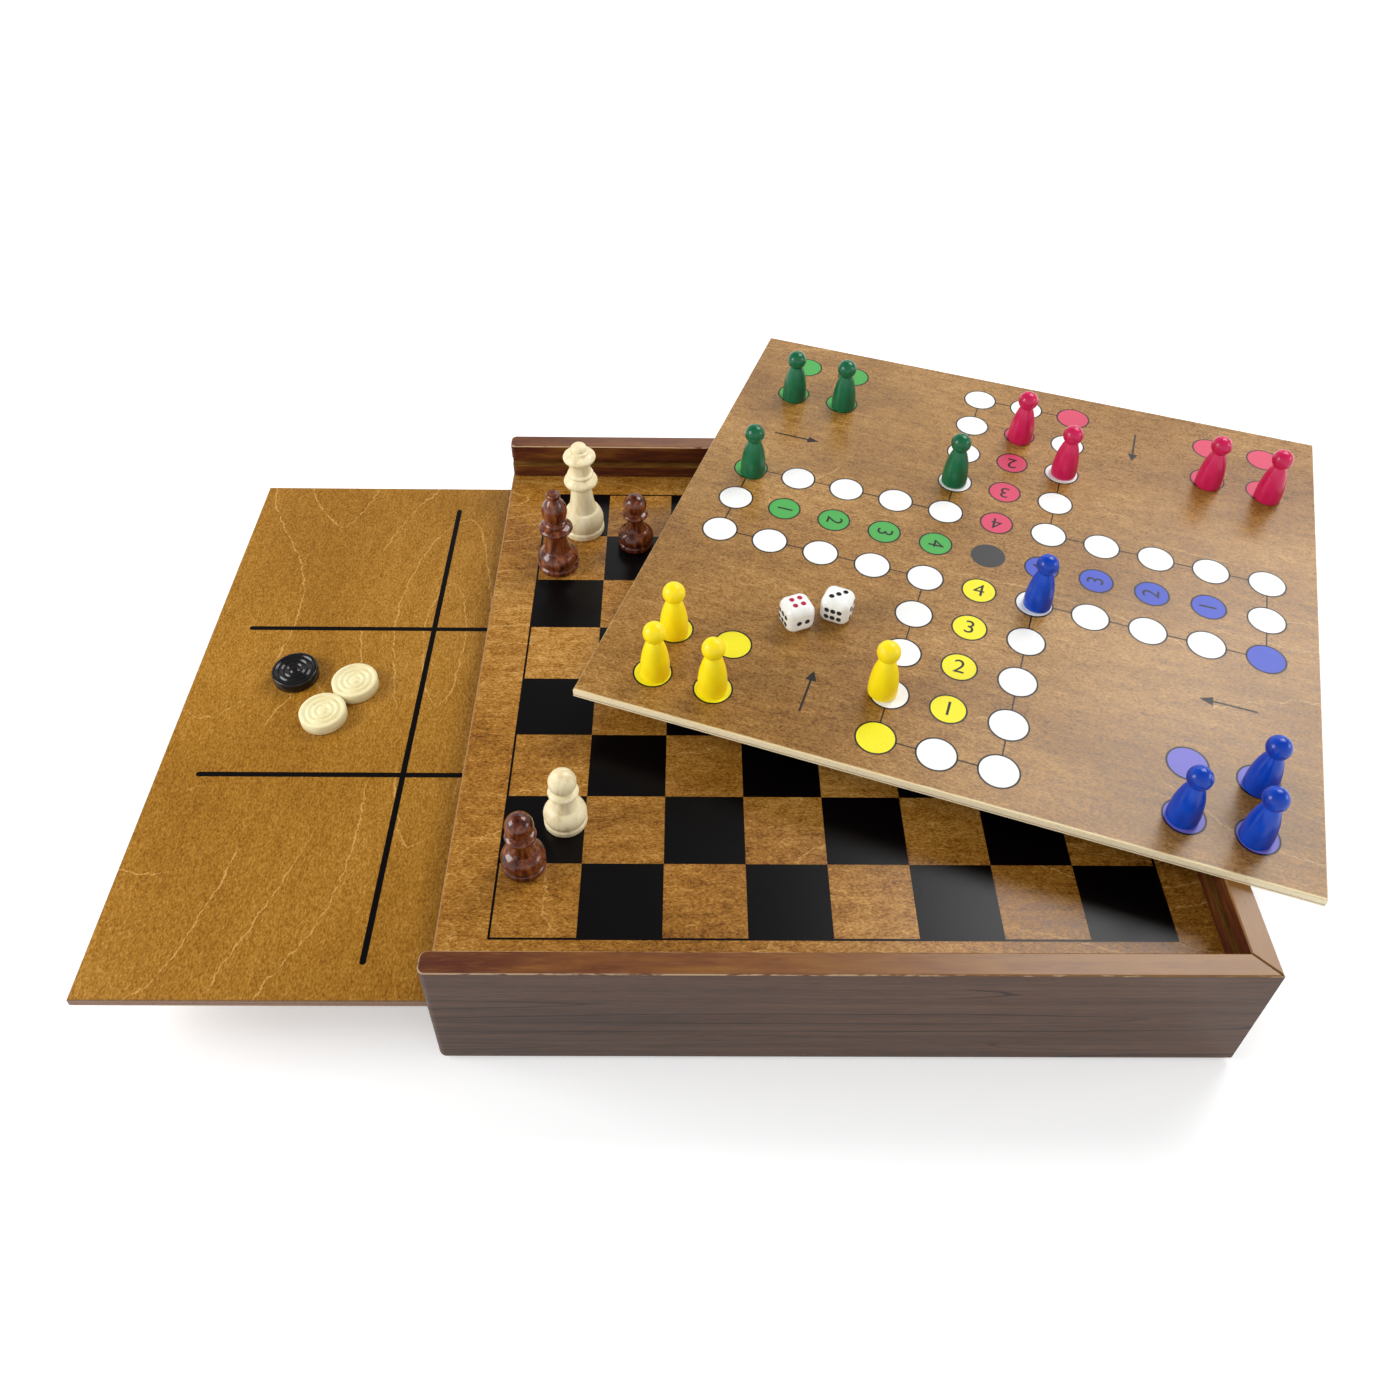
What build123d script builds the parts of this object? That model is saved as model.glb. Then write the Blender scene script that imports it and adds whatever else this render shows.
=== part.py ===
"""Wooden games compendium: a low mitred box whose walls have three levels of grooves. A chess board
sits in the middle groove, a tic-tac-toe board is drawn out of the lowest one, and the ludo board,
which closes the top groove as a lid, lies across the back and right walls with its pegs and dice.

Millimetres, +Z up. The origin is the middle of the box's underside. +X points to the closed end
that the boards slide towards, and +Y to the back wall.
"""

import math
import os

from build123d import *

# ---- Driving dimensions -------------------------------------------------------------------------

BOX_LENGTH = 282.4  # outside, along X
BOX_WIDTH = 286.8  # outside, along Y
BOX_HEIGHT = 60.0
WALL = 8.3  # thickness of the four walls

PANEL = 4.0  # thickness of the bottom panel
PANEL_SEAT = 4.0  # how far the bottom panel is let into the walls

BOARD = 4.0  # thickness of every board
BOARD_LENGTH = 278.0  # the way the two lower boards slide; across the box for the lid
BOARD_WIDTH = 275.0  # the two lower boards, from groove to groove
LUDO_BOARD_WIDTH = 269.0  # the lid, which stops short of the open end and leaves a finger gap
BOARD_PLAY = 0.5  # gap between a board's end and the back of the right wall's groove
BOARD_EASE = 0.3  # small chamfer round both faces of a board
GROOVE_DEPTH = 4.2
GROOVE_HEIGHT = 4.6
GROOVE_PITCH = 10.4  # from one level to the next
CHESS_LEVEL = 37.0  # the middle groove's floor
LEVELS = [CHESS_LEVEL - GROOVE_PITCH, CHESS_LEVEL, CHESS_LEVEL + GROOVE_PITCH]

WALL_END_RADIUS = 2.5  # upright edges at the open left end
WALL_FOOT_RADIUS = 3.0  # lower outside edges
WALL_TOP_EASE = 0.5  # small chamfer along the top edges
LEFT_WALL_GAP = 0.2  # between the left wall's top and the board that slides over it

TICTACTOE_OUT = 124.0  # how far the tic-tac-toe board is drawn out to the left
LUDO_CENTRE = (77.0, 55.2)
LUDO_TURN = -19.4  # degrees about Z
LUDO_PITCH = 23.35  # from one ludo circle to the next
LUDO_PRINT_OFFSET = (1.6, -1.0)  # the printed cross against the middle of its board

PEG_FOOT_RADIUS = 5.9
PEG_HEAD_RADIUS = 4.6
PEG_HEIGHT = 27.4

DIE = 12.7
DIE_ROUNDING = 3.8

DRAUGHT_RADIUS = 9.6
DRAUGHT_HEIGHT = 5.0
DRAUGHT_RIDGES = 3  # round ridges between the rim and the knob in the middle
DRAUGHT_RELIEF = 0.5  # depth of the valleys between the ridges

# ---- Levels and outlines worked out from them ---------------------------------------------------

INNER_RIGHT = BOX_LENGTH / 2 - WALL
INNER_SIDE = BOX_WIDTH / 2 - WALL
OPEN_END = -BOX_LENGTH / 2
LEFT_WALL_OUTER = OPEN_END + WALL_END_RADIUS
LEFT_WALL_INNER = LEFT_WALL_OUTER + WALL
LEFT_WALL_TOP = LEVELS[0] - LEFT_WALL_GAP

GROOVE_END = INNER_RIGHT + GROOVE_DEPTH
BOARD_CENTRE_X = GROOVE_END - BOARD_PLAY - BOARD_LENGTH / 2

CHESS_TOP = CHESS_LEVEL + BOARD
TICTACTOE_TOP = LEVELS[0] + BOARD
LUDO_TOP = BOX_HEIGHT + BOARD

# ---- Where the loose pieces stand ---------------------------------------------------------------

# Chessmen and draughts: x, y in the box's frame.
QUEEN_PLACE = (-103.5, 95.9)
BISHOP_PLACE = (-113.4, 70.8)
DARK_PAWN_PLACES = [(-113.1, -89.7), (-78.4, 86.0)]
CREAM_PAWN_PLACE = (-99.4, -70.5)
BLACK_DRAUGHT_PLACE = (-221.8, 10.2)
CREAM_DRAUGHT_PLACES = [(-195.1, 4.3), (-205.0, -12.5)]

# Ludo pieces: columns and rows of the printed cross, counted from its middle. They are set down by
# hand, so they stand a little off the middle of their circles.
PEG_CELLS = {
    "yellow": [(-4.86, -4.89), (-3.83, -4.9), (-4.88, -3.9), (-1.12, -4.0)],
    "green": [(-4.85, 3.67), (-3.76, 3.71), (-4.92, 0.87), (-1.02, 1.98)],
    "red": [(3.83, 3.67), (4.97, 3.62), (0.02, 3.88), (1.03, 3.01)],
    "blue": [(3.79, -4.92), (4.86, -4.94), (4.9, -3.92), (1.05, -1.0)],
}
DICE = [((-2.93, -2.95), 22.0), ((-2.3, -2.52), -24.0)]  # cell, and turn in the box's frame


# ---- Box ----------------------------------------------------------------------------------------


def block(low, high):
    """A box between two opposite corners."""
    size = [b - a for a, b in zip(low, high)]
    return Pos(*low) * Box(*size, align=(Align.MIN, Align.MIN, Align.MIN))


def board_space(level):
    """The space that one board slides in: open to the left, sunk into the other three walls."""
    side = INNER_SIDE + GROOVE_DEPTH
    past_the_end = OPEN_END - WALL
    return block((past_the_end, -side, level), (GROOVE_END, side, level + GROOVE_HEIGHT))


def bottom_panel():
    """The thin panel that closes the underside, let into rabbets all round."""
    side = INNER_SIDE + PANEL_SEAT
    return block((LEFT_WALL_INNER - PANEL_SEAT, -side, 0), (INNER_RIGHT + PANEL_SEAT, side, PANEL))


def eased(wall, outside):
    """Rounds a wall's lower outside edges and chamfers its top edges. outside picks, from the
    lower edges, those on the outside of the box."""
    lower = wall.edges().filter_by_position(Axis.Z, 0, 0)
    wall = fillet([edge for edge in lower if outside(edge.center())], WALL_FOOT_RADIUS)
    top = wall.faces().sort_by(Axis.Z)[-1]
    return chamfer(top.outer_wire().edges(), WALL_TOP_EASE)


def cut_for_boards(wall):
    """Takes the three grooves and the bottom panel's rabbet out of a wall."""
    for level in LEVELS:
        wall -= board_space(level)
    return wall - bottom_panel()


def front_wall():
    """A wall along X, rounded at the open end and mitred at the closed one."""
    right, side = BOX_LENGTH / 2, BOX_WIDTH / 2
    plan = Polyline(
        (OPEN_END, -side), (right, -side), (INNER_RIGHT, -INNER_SIDE), (OPEN_END, -INNER_SIDE), close=True
    )
    face = make_face(plan)
    open_corners = face.vertices().group_by(Axis.X)[0]
    wall = extrude(fillet(open_corners, WALL_END_RADIUS), BOX_HEIGHT)
    wall = eased(wall, lambda at: at.Y < 1 - side or at.X < OPEN_END + WALL_END_RADIUS)
    return cut_for_boards(wall)


def right_wall():
    """The closed end, mitred into the front and back walls."""
    right, side = BOX_LENGTH / 2, BOX_WIDTH / 2
    plan = Polyline(
        (right, -side), (right, side), (INNER_RIGHT, INNER_SIDE), (INNER_RIGHT, -INNER_SIDE), close=True
    )
    wall = extrude(make_face(plan), BOX_HEIGHT)
    return cut_for_boards(eased(wall, lambda at: at.X > right - 1))


def left_wall():
    """The low wall under the lowest groove, butted between the front and back walls."""
    low = (LEFT_WALL_OUTER, -INNER_SIDE, 0)
    wall = block(low, (LEFT_WALL_INNER, INNER_SIDE, LEFT_WALL_TOP))
    return cut_for_boards(eased(wall, lambda at: at.X < LEFT_WALL_OUTER + 1))


# ---- Boards -------------------------------------------------------------------------------------


def board(width):
    """A plywood board centred on its underside, with crisp corners and edges just eased."""
    blank = extrude(Rectangle(BOARD_LENGTH, width), BOARD)
    faces = blank.faces().filter_by(Axis.Z)
    return chamfer(faces.edges(), BOARD_EASE)


def ludo_spot(cell):
    """Where a cell of the printed cross lies on the ludo board, as a location on its top face."""
    column, row = cell
    offset_x, offset_y = LUDO_PRINT_OFFSET
    on_board = Pos(column * LUDO_PITCH + offset_x, row * LUDO_PITCH + offset_y)
    return Pos(*LUDO_CENTRE, LUDO_TOP) * Rot(0, 0, LUDO_TURN) * on_board


# ---- Turned pieces ------------------------------------------------------------------------------


def swell(start, middle, end):
    """A curve between two points of an outline that passes through its middle. One that ends on
    the axis closes a ball, so it is a true arc, and any other is a parabola."""
    if end[0] == 0:
        return ThreePointArc(start, middle, end)
    control = tuple(2 * m - (s + e) / 2 for s, m, e in zip(start, middle, end))
    return Bezier(start, control, end)


def turned(foot_radius, *runs):
    """A piece turned about Z, from the rim of its foot to its tip. Each run goes on from the last
    point: one (radius, height) is a straight run, and a pair of them is a curve, given by its
    middle and its end."""
    at = (foot_radius, 0)
    edges = [Line((0, 0), at)]
    for run in runs:
        if isinstance(run[0], tuple):
            edges.append(swell(at, *run))
            at = run[1]
        else:
            edges.append(Line(at, run))
            at = run
    if at[0] > 0:
        edges.append(Line(at, (0, at[1])))
        at = (0, at[1])
    edges.append(Line(at, (0, 0)))
    return revolve(Plane.XZ * make_face(edges), Axis.Z)


def ball(neck_radius, radius, top):
    """The run round a ball that sits on a neck: the height where it leaves the neck, and the arc
    over its widest ring to its top."""
    centre = top - radius
    start = centre - math.sqrt(radius**2 - neck_radius**2)
    return start, ((radius, centre), (0, top))


def peg():
    """Ludo peg: a bell-shaped body under a ball."""
    neck = 2.8
    head_start, head = ball(neck, PEG_HEAD_RADIUS, PEG_HEIGHT)
    shoulder = (0.89 * PEG_FOOT_RADIUS, 0.56 * head_start)
    return turned(PEG_FOOT_RADIUS - 0.4, (PEG_FOOT_RADIUS, 0.8), (shoulder, (neck, head_start)), head)


def pawn():
    """Pawn: plinth, bell with a ledge, stem, collar and ball."""
    neck = 3.9
    head_start, head = ball(neck, 5.3, 29.0)
    return turned(
        7.8,
        (8.2, 0.6),
        (8.2, 2.3),
        (7.5, 3.0),  # groove
        (7.9, 3.8),
        ((8.05, 6.5), (6.2, 9.0)),  # bell
        (5.0, 9.7),
        ((3.8, 13.0), (4.0, 16.5)),  # stem
        ((5.85, 18.2), (neck, head_start - 0.4)),  # collar
        (neck, head_start),
        head,
    )


def bishop():
    """Bishop: plinth, bell with a ledge, stem, wide collar, onion-shaped head and flat button."""
    return turned(
        8.9,
        (9.3, 0.6),
        (9.3, 2.4),
        (8.4, 3.1),  # groove
        (8.9, 4.0),
        ((9.1, 6.9), (7.2, 9.7)),  # bell
        (6.1, 10.5),
        ((4.95, 15.0), (4.7, 20.6)),  # stem
        ((7.65, 22.8), (4.7, 25.0)),  # collar
        ((5.3, 26.1), (4.2, 27.2)),  # bead
        ((5.6, 33.8), (2.4, 39.8)),  # head
        (3.1, 40.6),
        (3.1, 42.0),
        (2.6, 42.6),
    )


def queen():
    """Queen: plinth, tall bell with a ledge, collar, cup, thick rim and a stepped dome."""
    return turned(
        9.3,
        (9.7, 0.6),
        (9.7, 2.9),
        (8.9, 3.7),  # groove
        (9.3, 4.6),
        ((9.4, 8.7), (7.6, 12.8)),  # lower bell
        (6.6, 13.5),
        ((5.4, 19.0), (4.7, 26.8)),  # upper bell and stem
        ((7.75, 29.6), (5.4, 32.9)),  # collar
        ((6.0, 34.1), (5.1, 35.2)),  # bead
        ((4.85, 38.3), (5.4, 41.1)),  # cup
        ((7.4, 43.2), (6.0, 45.3)),  # rim
        (4.7, 46.0),
        (4.4, 47.0),
        (3.5, 47.4),
        ((3.1, 49.5), (0.9, 50.4)),  # dome
    )


def draught():
    """Draughtsman: a disc with the same ring of ridges and valleys on both faces."""
    rim_width = 1.2
    radius, height = DRAUGHT_RADIUS, DRAUGHT_HEIGHT
    ridge_pitch = (radius - rim_width) / (DRAUGHT_RIDGES + 0.5)
    ups = [(radius - 0.4, height), (radius - rim_width, height)]
    for ridge in range(DRAUGHT_RIDGES):
        valley = radius - rim_width - (ridge + 0.5) * ridge_pitch
        ups += [(valley, height - DRAUGHT_RELIEF), (valley - ridge_pitch / 2, height)]
    downs = [(r, height - z) for r, z in ups]
    outline = [(0, 0)] + downs[::-1] + [(radius, 0.4), (radius, height - 0.4)] + ups + [(0, height)]
    return revolve(Plane.XZ * make_face(Polyline(*outline, close=True)), Axis.Z)


def die():
    """A die with generously rounded edges, standing on the origin."""
    cube = Pos(0, 0, DIE / 2) * Box(DIE, DIE, DIE)
    return fillet(cube.edges(), DIE_ROUNDING)


# ---- Assembly -----------------------------------------------------------------------------------


def box_nodes():
    front = front_wall()
    return {
        "front_wall": front,
        "back_wall": mirror(front, Plane.XZ),
        "right_wall": right_wall(),
        "left_wall": left_wall(),
        "bottom_panel": bottom_panel(),
    }


def board_nodes():
    lower_board = board(BOARD_WIDTH)
    ludo_board = board(LUDO_BOARD_WIDTH)
    return {
        "chess_board": Pos(BOARD_CENTRE_X, 0, CHESS_LEVEL) * lower_board,
        "tictactoe_board": Pos(BOARD_CENTRE_X - TICTACTOE_OUT, 0, LEVELS[0]) * lower_board,
        "ludo_board": Pos(*LUDO_CENTRE, BOX_HEIGHT) * Rot(0, 0, LUDO_TURN) * ludo_board,
    }


def ludo_piece_nodes():
    nodes = {}
    for colour, cells in PEG_CELLS.items():
        for number, cell in enumerate(cells, start=1):
            nodes[f"peg_{colour}_{number}"] = ludo_spot(cell) * peg()
    for number, (cell, turn) in enumerate(DICE, start=1):
        nodes[f"die_{number}"] = ludo_spot(cell) * Rot(0, 0, turn - LUDO_TURN) * die()
    return nodes


def chessman_and_draught_nodes():
    nodes = {
        "queen_cream": Pos(*QUEEN_PLACE, CHESS_TOP) * queen(),
        "bishop_dark": Pos(*BISHOP_PLACE, CHESS_TOP) * bishop(),
        "pawn_cream": Pos(*CREAM_PAWN_PLACE, CHESS_TOP) * pawn(),
        "draught_black": Pos(*BLACK_DRAUGHT_PLACE, TICTACTOE_TOP) * draught(),
    }
    for number, place in enumerate(DARK_PAWN_PLACES, start=1):
        nodes[f"pawn_dark_{number}"] = Pos(*place, CHESS_TOP) * pawn()
    for number, place in enumerate(CREAM_DRAUGHT_PLACES, start=1):
        nodes[f"draught_cream_{number}"] = Pos(*place, TICTACTOE_TOP) * draught()
    return nodes


os.makedirs("parts", exist_ok=True)
for make_nodes in (box_nodes, board_nodes, ludo_piece_nodes, chessman_and_draught_nodes):
    for name, solid in make_nodes().items():
        export_step(solid, f"parts/{name}.step")
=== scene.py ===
"""The looks of a wooden games compendium: camera, light, stained wood, printed boards and finely
turned pieces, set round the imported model. Sizes are written in millimetres and MM makes them metres.
"""

import math

import bmesh
import bpy
from mathutils import Euler, Matrix, Vector

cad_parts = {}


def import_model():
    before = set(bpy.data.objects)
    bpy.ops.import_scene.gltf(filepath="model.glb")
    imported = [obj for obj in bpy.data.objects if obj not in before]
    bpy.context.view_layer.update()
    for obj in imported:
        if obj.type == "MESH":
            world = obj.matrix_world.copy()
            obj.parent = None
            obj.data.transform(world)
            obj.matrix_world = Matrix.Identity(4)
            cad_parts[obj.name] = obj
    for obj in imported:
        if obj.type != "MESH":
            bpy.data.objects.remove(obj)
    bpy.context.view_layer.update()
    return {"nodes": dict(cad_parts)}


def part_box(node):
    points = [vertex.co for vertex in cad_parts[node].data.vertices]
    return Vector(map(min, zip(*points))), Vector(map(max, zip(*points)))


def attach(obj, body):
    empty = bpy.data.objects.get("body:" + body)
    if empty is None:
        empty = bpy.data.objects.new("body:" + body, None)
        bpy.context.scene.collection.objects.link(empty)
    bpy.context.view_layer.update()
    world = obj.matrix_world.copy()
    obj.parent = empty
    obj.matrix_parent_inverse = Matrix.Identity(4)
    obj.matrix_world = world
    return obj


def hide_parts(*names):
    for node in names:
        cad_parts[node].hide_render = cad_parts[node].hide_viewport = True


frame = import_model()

MM = 0.001

# ---- Photograph's camera ------------------------------------------------------------------------

PHOTO_SIDE = 1400  # pixels
SENSOR = 36.0
FOCAL_PIXELS = 1226.0
AXIS_PIXEL = (699.6, 559.3)  # where the lens axis meets the photograph
CAMERA_PLACE = (-55.1, -343.3, 427.9)
CAMERA_TURN = (47.233, -0.754, -0.208)  # degrees about X, Y and Z

# ---- How the boards lie and what is printed on them ---------------------------------------------

LUDO_TURN = -19.4  # degrees about Z
LUDO_PITCH = 23.35
LUDO_PRINT_OFFSET = (1.6, -1.0)
TRACK_CIRCLE = 16.2  # outer diameters, each with its dark outline
LETTER_CIRCLE = 15.0
HOME_CIRCLE = 16.0
OUTLINE = 0.7
LINK = 0.55  # width of the lines between the circles
HOME_NEAR, HOME_FAR = 3.82, 4.9
NUMERAL_HEIGHT = 7.2
FIGURE_SHARE = 0.7  # of a font's size that a figure is high
ARROW_TAIL, ARROW_TIP = (-2.32, -4.88), (-2.32, -3.93)
ARROW_HEAD = (5.4, 4.6)  # length and width
ARROW_STROKE = 0.85

CHESS_SQUARE = 30.0
CHESS_GRID_CENTRE = (-2.2, 0.6)  # in the box's frame
CHESS_OUTLINE = 0.85

CROSS_CENTRE = (-0.5, -1.5)  # tic-tac-toe lines, from the middle of their board
CROSS_SPACING = 40.4  # either side of that centre
CROSS_LENGTH = 243.0
CROSS_WIDTH = 2.3

FILM = 0.03  # how far a print stands above its board
INK_STEP = 0.015  # and how far a colour stands above its own dark outline


# ---- Materials ----------------------------------------------------------------------------------

LAYER_WOBBLE = 0.5  # how far the layers along a board's edge stray up and down
SATIN = 0.36  # specular level of the boards' varnish and of the pegs' paint


def seen(red, green, blue):
    """A colour written as a screen shows it, from 0 to 255, as a shader's linear colour."""
    linear = [v / 12.92 if v <= 0.04045 else ((v + 0.055) / 1.055) ** 2.4 for v in
              (red / 255, green / 255, blue / 255)]
    return (*linear, 1.0)


class Finish:
    """A material or world being built. Each method adds one kind of node and returns its output."""

    def __init__(self, owner):
        self.owner = owner
        owner.use_nodes = True
        self.nodes = owner.node_tree.nodes
        self.shader = self.nodes.get("Principled BSDF")
        self.place = self.nodes.new("ShaderNodeTexCoord")

    def feed(self, socket, value):
        if isinstance(value, bpy.types.NodeSocket):
            self.owner.node_tree.links.new(value, socket)
        else:
            socket.default_value = value

    def node(self, kind, inputs, **settings):
        made = self.nodes.new("ShaderNode" + kind)
        for key, value in settings.items():
            setattr(made, key, value)
        for key, value in inputs.items():
            self.feed(made.inputs[key], value)
        return made

    def set(self, **inputs):
        """Feeds the shader's sockets, named with underscores for spaces."""
        for key, value in inputs.items():
            self.feed(self.shader.inputs[key.replace("_", " ")], value)

    def millimetres(self, origin=(0, 0, 0), turn=0.0):
        """The object's own coordinates, in millimetres from origin (metres) and turned by degrees."""
        inputs = {"Vector": self.place.outputs["Object"], "Location": origin,
                  "Rotation": (0, 0, math.radians(turn)), "Scale": (MM, MM, MM)}
        return self.node("Mapping", inputs, vector_type="TEXTURE").outputs[0]

    def grain(self, vector, axis):
        """The coordinates with the one along the grain first."""
        x, y, z = self.parts(vector)
        return vector if axis == "X" else self.node("CombineXYZ", {0: y, 1: x, 2: z}).outputs[0]

    def stretch(self, vector, x=1.0, y=1.0, z=1.0):
        return self.node("VectorMath", {0: vector, 1: (x, y, z)}, operation="MULTIPLY").outputs[0]

    def shift(self, vector, by):
        return self.node("VectorMath", {0: vector, 1: by}, operation="ADD").outputs[0]

    def parts(self, vector):
        return self.node("SeparateXYZ", {0: vector}).outputs

    def noise(self, vector, size, detail=2.0, rough=0.5, warp=0.0):
        """Noise from 0 to 1 whose blobs are about size millimetres across."""
        inputs = {"Vector": vector, "Scale": 1 / size, "Detail": detail, "Roughness": rough,
                  "Distortion": warp}
        return self.node("TexNoise", inputs).outputs[0]

    def warped(self, vector, size, reach, detail=2.0, rough=0.5):
        """The coordinates pushed about by up to reach millimetres, in blobs of that size."""
        inputs = {"Vector": vector, "Scale": 1 / size, "Detail": detail, "Roughness": rough}
        push = self.shift(self.node("TexNoise", inputs).outputs["Color"], (-0.5, -0.5, -0.5))
        scaled = self.node("VectorMath", {0: push, "Scale": 2 * reach}, operation="SCALE").outputs[0]
        return self.shift(vector, scaled)

    def math(self, operation, a, b=0.0):
        return self.node("Math", {0: a, 1: b}, operation=operation).outputs[0]

    def times(self, a, b):
        return self.math("MULTIPLY", a, b)

    def plus(self, a, b):
        return self.math("ADD", a, b)

    def minus(self, a, b):
        return self.math("SUBTRACT", a, b)

    def fused(self, a, b, c):
        """a times b, and c added."""
        return self.node("Math", {0: a, 1: b, 2: c}, operation="MULTIPLY_ADD").outputs[0]

    def sum(self, *terms):
        """0.5 and, for each (noise, weight), the noise's departure from 0.5 times the weight."""
        total = 0.5 - sum(weight for _, weight in terms) / 2
        for value, weight in terms:
            total = self.fused(value, weight, total)
        return total

    def rise(self, value, low, high):
        """0 below low and 1 above high, or the other way round if low is the greater."""
        inputs = {"Value": value, "From Min": low, "From Max": high}
        return self.node("MapRange", inputs, interpolation_type="SMOOTHSTEP").outputs[0]

    def band(self, value, centre, half_width, soft):
        """1 within half_width of centre, falling to 0 over soft."""
        off = self.math("ABSOLUTE", self.minus(value, centre))
        return self.rise(off, half_width + soft, half_width)

    def contours(self, vector, jagged, squeeze, size, count, half_width, soft, across=(0, 1, 0)):
        """Thin lines of even width: the level lines of a slow noise that is size millimetres across and
        drawn out along the grain, followed along the jagged coordinates. count sets their number, and
        across is the face's other direction."""

        def field_at(place):
            return self.noise(self.stretch(place, squeeze), size, detail=0)

        field, smooth = field_at(jagged), field_at(vector)
        slope = 0.0
        for step in ((1, 0, 0), across):
            rise = self.minus(field_at(self.shift(vector, step)), smooth)
            slope = self.fused(rise, rise, slope)
        slope = self.times(self.math("SQRT", slope), count)
        level = self.math("FRACT", self.times(field, count))
        off = self.math("ABSOLUTE", self.minus(level, 0.5))
        return self.rise(self.math("DIVIDE", off, slope), half_width + soft, half_width)

    def mix(self, share, under, over):
        made = self.node("Mix", {}, data_type="RGBA")
        self.feed(made.inputs["Factor"], share)
        self.feed(made.inputs[6], under)
        self.feed(made.inputs[7], over)
        return made.outputs[2]

    def ramp(self, value, *stops):
        """A colour for each value, from (place, colour) stops."""
        made = self.node("ValToRGB", {0: value})
        while len(made.color_ramp.elements) < len(stops):
            made.color_ramp.elements.new(1.0)
        for element, (place, colour) in zip(made.color_ramp.elements, stops):
            element.position, element.color = place, colour
        return made.outputs[0]

    def relief(self, height, depth):
        """Bump of up to depth millimetres."""
        bump = self.node("Bump", {"Height": height, "Distance": depth * MM, "Strength": 1.0})
        self.set(Normal=bump.outputs[0])


def birch_ply(name, node, turn, grain, tones, figure, veins, pale_side, edge_stops):
    """Stained birch plywood: fine-flecked veneer with pale jagged veins on its faces, and its layers
    along the cut edges. turn is the board's own, in degrees. tones are dark, middle, light, vein and
    worn. figure is how strong its clouds, streaks, mottle and flecks are. veins are their field's size,
    its level lines, and how rare they are. pale_side is where the face is worn at one edge: the axis,
    where the worn strip starts, and where it is full. edge_stops are the layers from the underside up,
    as places from 0 to 1 and colours."""
    dark, middle, light, vein, worn = tones
    low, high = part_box(node)
    finish = Finish(bpy.data.materials.new(name))
    board = finish.millimetres(((low.x + high.x) / 2, (low.y + high.y) / 2, low.z), turn)
    here = finish.grain(board, grain)
    clouds = finish.noise(finish.stretch(here, 0.5), 60, detail=3, rough=0.55, warp=0.5)
    streaks = finish.noise(finish.stretch(here, 0.07), 1.6, detail=3, rough=0.6)
    mottle = finish.noise(finish.stretch(here, 0.6), 3.2, detail=2)
    flecks = finish.noise(finish.stretch(here, 0.55), 0.7, detail=3, rough=0.8)
    smooth, streaky, mottled, flecked = figure
    tone = finish.sum((clouds, smooth), (streaks, streaky), (mottle, mottled), (flecks, flecked))
    face = finish.ramp(tone, (0.2, dark), (0.5, middle), (0.8, light))
    pits = finish.noise(finish.stretch(here, 0.3), 0.5, detail=1)
    face = finish.mix(finish.times(finish.rise(pits, 0.66, 0.74), 0.45), face, dark)

    # Veins follow the edges between growth rings, so they run with the grain, jagged and broken.
    size, count, rarity = veins
    jagged = finish.warped(here, 7.0, 2.4, detail=4, rough=0.65)
    lines = finish.contours(here, jagged, 0.3, size, count, 0.12, 0.3)
    where = finish.rise(finish.noise(finish.stretch(here, 0.5), 44, detail=1), rarity, rarity + 0.05)
    broken = finish.rise(finish.noise(here, 1.8, detail=2), 0.3, 0.52)
    veins_seen = finish.times(finish.times(lines, where), broken)
    face = finish.mix(finish.times(veins_seen, 0.7), face, vein)

    axis, start, full = pale_side
    ragged = finish.plus(finish.parts(board)[axis], finish.times(mottle, 0.5))
    face = finish.mix(finish.rise(ragged, start, full), face, worn)

    wobble = finish.times(finish.noise(board, 3.0, detail=2), LAYER_WOBBLE)
    height = finish.plus(finish.parts(board)[2], wobble)
    layer = finish.math("DIVIDE", height, (high.z - low.z) / MM + LAYER_WOBBLE / 2)
    nicks = finish.noise(finish.stretch(board, 0.6, 0.6, 3.0), 0.8, detail=2)
    edge = finish.ramp(layer, *edge_stops)
    edge = finish.mix(finish.times(finish.rise(nicks, 0.55, 0.75), 0.4), edge, dark)
    facing = finish.math("ABSOLUTE", finish.parts(finish.place.outputs["Normal"])[2])
    colour = finish.mix(finish.rise(facing, 0.5, 0.85), edge, face)
    gloss = finish.sum((flecks, 0.25), (mottle, 0.1))
    finish.set(Base_Color=colour, Roughness=finish.minus(gloss, 0.2), Specular_IOR_Level=SATIN)
    finish.relief(finish.plus(flecks, finish.times(streaks, 0.8)), 0.03)
    return finish.owner


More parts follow.
